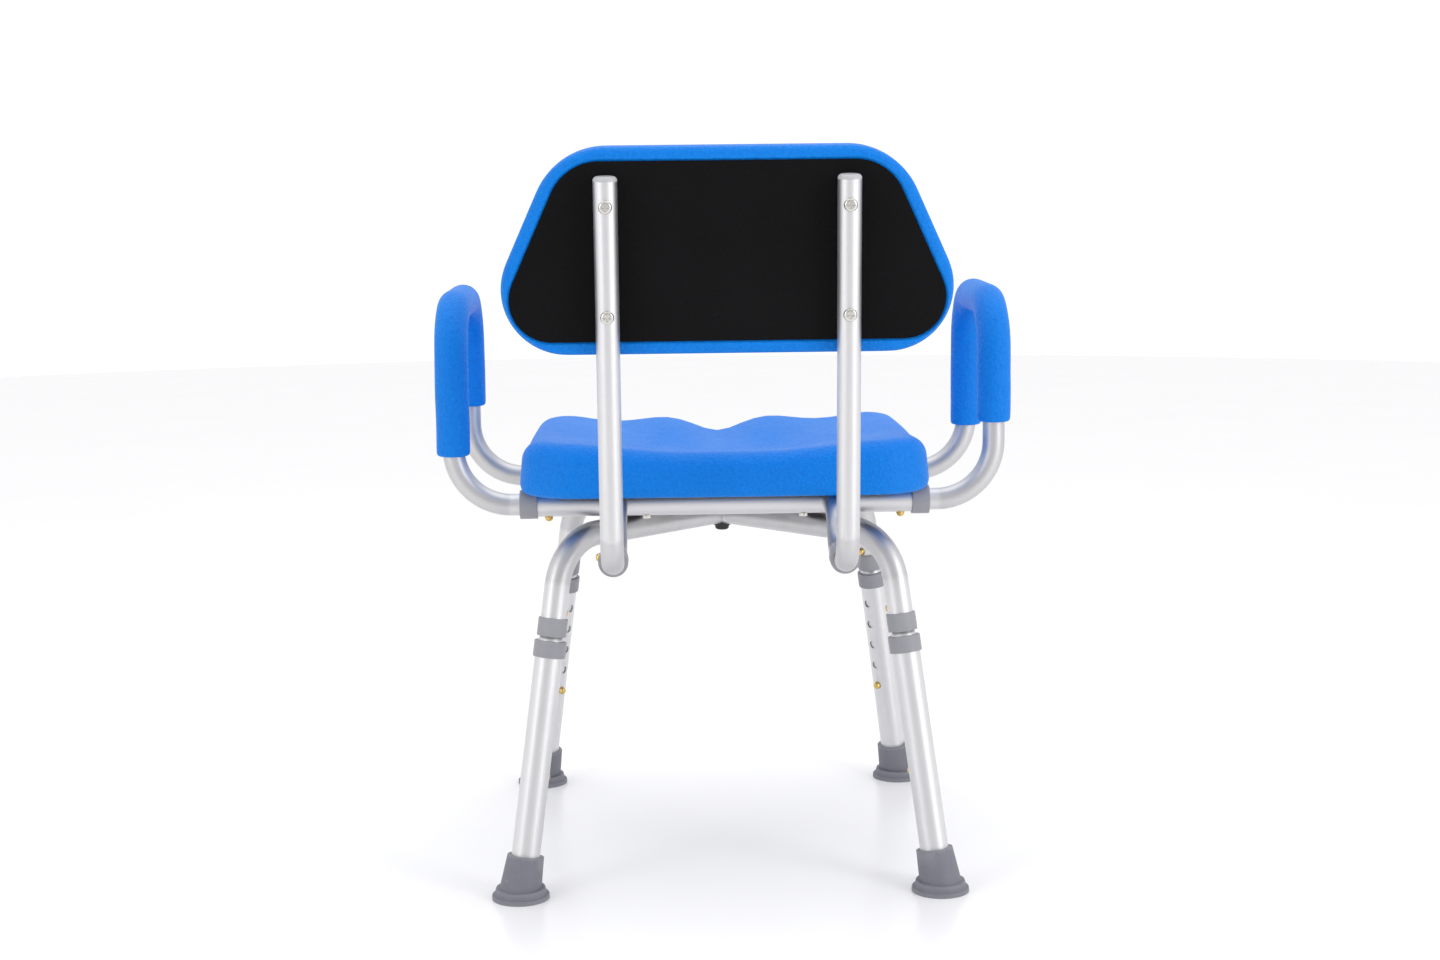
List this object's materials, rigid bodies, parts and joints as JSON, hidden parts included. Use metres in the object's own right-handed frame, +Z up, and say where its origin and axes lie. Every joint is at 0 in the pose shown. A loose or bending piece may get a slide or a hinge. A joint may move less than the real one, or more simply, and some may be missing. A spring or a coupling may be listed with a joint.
{
  "type": "swivel bath chair",
  "caption": "Padded swivel bath chair with padded back, plug-in arms and height-adjustable legs on rubber feet.",
  "frame": {"origin": "middle of the chair's outline at floor level", "axes": "+Z up, the sitter faces -Y and the back is at +Y"},
  "size_m": [0.582, 0.5904, 0.7453],
  "materials": {
    "alu": "satin anodised tube",
    "grey_plastic": "matt moulded grey",
    "silver_plastic": "satin silver-grey",
    "blue_foam": "grained skin of moulded polyurethane foam, taken at 300 kg per cubic metre",
    "black_panel": "matt, felt-like",
    "rubber_feet": "matt grey rubber",
    "button_brass": "polished",
    "plated_steel": "bright nickel plate",
    "bearing_plastic": "natural acetal",
    "black_plastic": "matt moulded black"
  },
  "bodies": {
    "base": {"cross_tube_through": "alu", "cross_tube_halves": "alu", "upper_collars": "grey_plastic", "turn_plate_lower": "plated_steel", "turn_bearing": "bearing_plastic", "pivot_bolt": "plated_steel", "pivot_washer": "black_plastic", "pivot_nut": "plated_steel"},
    "seat": {"turn_plate_upper": "plated_steel", "crossbars": "alu", "crossbar_collars": "grey_plastic", "seat_rails": "alu", "socket_collars": "grey_plastic", "seat_board": "black_plastic", "board_screws": "plated_steel", "seat_cushion": "blue_foam"},
    "arm_left": {"arm_tube_left": "alu", "arm_sleeve_left": "blue_foam"},
    "arm_right": {"arm_tube_right": "alu", "arm_sleeve_right": "blue_foam"},
    "back": {"back_tubes": "alu", "back_plugs": "silver_plastic", "back_pad": "blue_foam", "back_panel": "black_panel", "pad_screws": "plated_steel"},
    "leg_rear_left": {"inner_tube_rear_left": "alu"},
    "shoe_rear_left": {"lower_tube_rear_left": "alu", "lower_collar_rear_left": "grey_plastic", "foot_rear_left": "rubber_feet"},
    "top_button_rear_left": {"top_button_rear_left": "button_brass"},
    "height_button_rear_left": {"height_button_rear_left": "button_brass"},
    "leg_rear_right": {"inner_tube_rear_right": "alu"},
    "shoe_rear_right": {"lower_tube_rear_right": "alu", "lower_collar_rear_right": "grey_plastic", "foot_rear_right": "rubber_feet"},
    "top_button_rear_right": {"top_button_rear_right": "button_brass"},
    "height_button_rear_right": {"height_button_rear_right": "button_brass"},
    "leg_front_left": {"inner_tube_front_left": "alu"},
    "shoe_front_left": {"lower_tube_front_left": "alu", "lower_collar_front_left": "grey_plastic", "foot_front_left": "rubber_feet"},
    "top_button_front_left": {"top_button_front_left": "button_brass"},
    "height_button_front_left": {"height_button_front_left": "button_brass"},
    "leg_front_right": {"inner_tube_front_right": "alu"},
    "shoe_front_right": {"lower_tube_front_right": "alu", "lower_collar_front_right": "grey_plastic", "foot_front_right": "rubber_feet"},
    "top_button_front_right": {"top_button_front_right": "button_brass"},
    "height_button_front_right": {"height_button_front_right": "button_brass"},
    "arm_button_rear_left": {"arm_button_rear_left": "button_brass"},
    "arm_button_rear_right": {"arm_button_rear_right": "button_brass"},
    "arm_button_front_left": {"arm_button_front_left": "button_brass"},
    "arm_button_front_right": {"arm_button_front_right": "button_brass"},
    "back_button_left": {"back_button_left": "button_brass"},
    "back_button_right": {"back_button_right": "button_brass"}
  },
  "joints": [
    {"name": "seat_swivel", "type": "hinge", "parent": "base", "child": "seat", "pos_m": [0, -0.05546, 0.3862], "axis": [0, 0, 1], "continuous": true},
    {"name": "arm_left_pull", "type": "slide", "parent": "seat", "child": "arm_left", "axis": [1, 0, 0], "range_m": [0, 0.07], "deforming": ["arm_button_rear_left", "arm_button_front_left"]},
    {"name": "arm_right_pull", "type": "slide", "parent": "seat", "child": "arm_right", "axis": [-1, 0, 0], "range_m": [0, 0.07], "deforming": ["arm_button_rear_right", "arm_button_front_right"]},
    {"name": "back_pull", "type": "slide", "parent": "seat", "child": "back", "axis": [0, 1, 0], "range_m": [0, 0.045], "deforming": ["back_button_left", "back_button_right"]},
    {"name": "leg_pull_rear_left", "type": "slide", "parent": "base", "child": "leg_rear_left", "axis": [0.1296, 0.1296, -0.9831], "range_m": [0, 0.05], "deforming": ["top_button_rear_left"]},
    {"name": "leg_height_rear_left", "type": "slide", "parent": "leg_rear_left", "child": "shoe_rear_left", "axis": [0.1296, 0.1296, -0.9831], "range_m": [0, 0.1016], "deforming": ["height_button_rear_left"]},
    {"name": "press_top_button_rear_left", "type": "slide", "parent": "leg_rear_left", "child": "top_button_rear_left", "axis": [-0.6951, -0.6951, -0.1833], "range_m": [-0.0045, 0], "stiffness_N_per_m": 600, "springref_m": 0.0045},
    {"name": "press_height_button_rear_left", "type": "slide", "parent": "leg_rear_left", "child": "height_button_rear_left", "axis": [-0.6951, -0.6951, -0.1833], "range_m": [-0.0045, 0], "stiffness_N_per_m": 600, "springref_m": 0.0045},
    {"name": "leg_pull_rear_right", "type": "slide", "parent": "base", "child": "leg_rear_right", "axis": [-0.1296, 0.1296, -0.9831], "range_m": [0, 0.05], "deforming": ["top_button_rear_right"]},
    {"name": "leg_height_rear_right", "type": "slide", "parent": "leg_rear_right", "child": "shoe_rear_right", "axis": [-0.1296, 0.1296, -0.9831], "range_m": [0, 0.1016], "deforming": ["height_button_rear_right"]},
    {"name": "press_top_button_rear_right", "type": "slide", "parent": "leg_rear_right", "child": "top_button_rear_right", "axis": [0.6951, -0.6951, -0.1833], "range_m": [-0.0045, 0], "stiffness_N_per_m": 600, "springref_m": 0.0045},
    {"name": "press_height_button_rear_right", "type": "slide", "parent": "leg_rear_right", "child": "height_button_rear_right", "axis": [0.6951, -0.6951, -0.1833], "range_m": [-0.0045, 0], "stiffness_N_per_m": 600, "springref_m": 0.0045},
    {"name": "leg_pull_front_left", "type": "slide", "parent": "base", "child": "leg_front_left", "axis": [0.1296, -0.1296, -0.9831], "range_m": [0, 0.05], "deforming": ["top_button_front_left"]},
    {"name": "leg_height_front_left", "type": "slide", "parent": "leg_front_left", "child": "shoe_front_left", "axis": [0.1296, -0.1296, -0.9831], "range_m": [0, 0.1016], "deforming": ["height_button_front_left"]},
    {"name": "press_top_button_front_left", "type": "slide", "parent": "leg_front_left", "child": "top_button_front_left", "axis": [-0.6951, 0.6951, -0.1833], "range_m": [-0.0045, 0], "stiffness_N_per_m": 600, "springref_m": 0.0045},
    {"name": "press_height_button_front_left", "type": "slide", "parent": "leg_front_left", "child": "height_button_front_left", "axis": [-0.6951, 0.6951, -0.1833], "range_m": [-0.0045, 0], "stiffness_N_per_m": 600, "springref_m": 0.0045},
    {"name": "leg_pull_front_right", "type": "slide", "parent": "base", "child": "leg_front_right", "axis": [-0.1296, -0.1296, -0.9831], "range_m": [0, 0.05], "deforming": ["top_button_front_right"]},
    {"name": "leg_height_front_right", "type": "slide", "parent": "leg_front_right", "child": "shoe_front_right", "axis": [-0.1296, -0.1296, -0.9831], "range_m": [0, 0.1016], "deforming": ["height_button_front_right"]},
    {"name": "press_top_button_front_right", "type": "slide", "parent": "leg_front_right", "child": "top_button_front_right", "axis": [0.6951, 0.6951, -0.1833], "range_m": [-0.0045, 0], "stiffness_N_per_m": 600, "springref_m": 0.0045},
    {"name": "press_height_button_front_right", "type": "slide", "parent": "leg_front_right", "child": "height_button_front_right", "axis": [0.6951, 0.6951, -0.1833], "range_m": [-0.0045, 0], "stiffness_N_per_m": 600, "springref_m": 0.0045},
    {"name": "press_arm_button_rear_left", "type": "slide", "parent": "arm_left", "child": "arm_button_rear_left", "axis": [0, 0, -1], "range_m": [-0.0045, 0], "stiffness_N_per_m": 600, "springref_m": 0.0045},
    {"name": "press_arm_button_rear_right", "type": "slide", "parent": "arm_right", "child": "arm_button_rear_right", "axis": [0, 0, -1], "range_m": [-0.0045, 0], "stiffness_N_per_m": 600, "springref_m": 0.0045},
    {"name": "press_arm_button_front_left", "type": "slide", "parent": "arm_left", "child": "arm_button_front_left", "axis": [0, 0, -1], "range_m": [-0.0045, 0], "stiffness_N_per_m": 600, "springref_m": 0.0045},
    {"name": "press_arm_button_front_right", "type": "slide", "parent": "arm_right", "child": "arm_button_front_right", "axis": [0, 0, -1], "range_m": [-0.0045, 0], "stiffness_N_per_m": 600, "springref_m": 0.0045},
    {"name": "press_back_button_left", "type": "slide", "parent": "back", "child": "back_button_left", "axis": [1, 0, 0], "range_m": [-0.0045, 0], "stiffness_N_per_m": 600, "springref_m": 0.0045},
    {"name": "press_back_button_right", "type": "slide", "parent": "back", "child": "back_button_right", "axis": [-1, 0, 0], "range_m": [-0.0045, 0], "stiffness_N_per_m": 600, "springref_m": 0.0045}
  ]
}
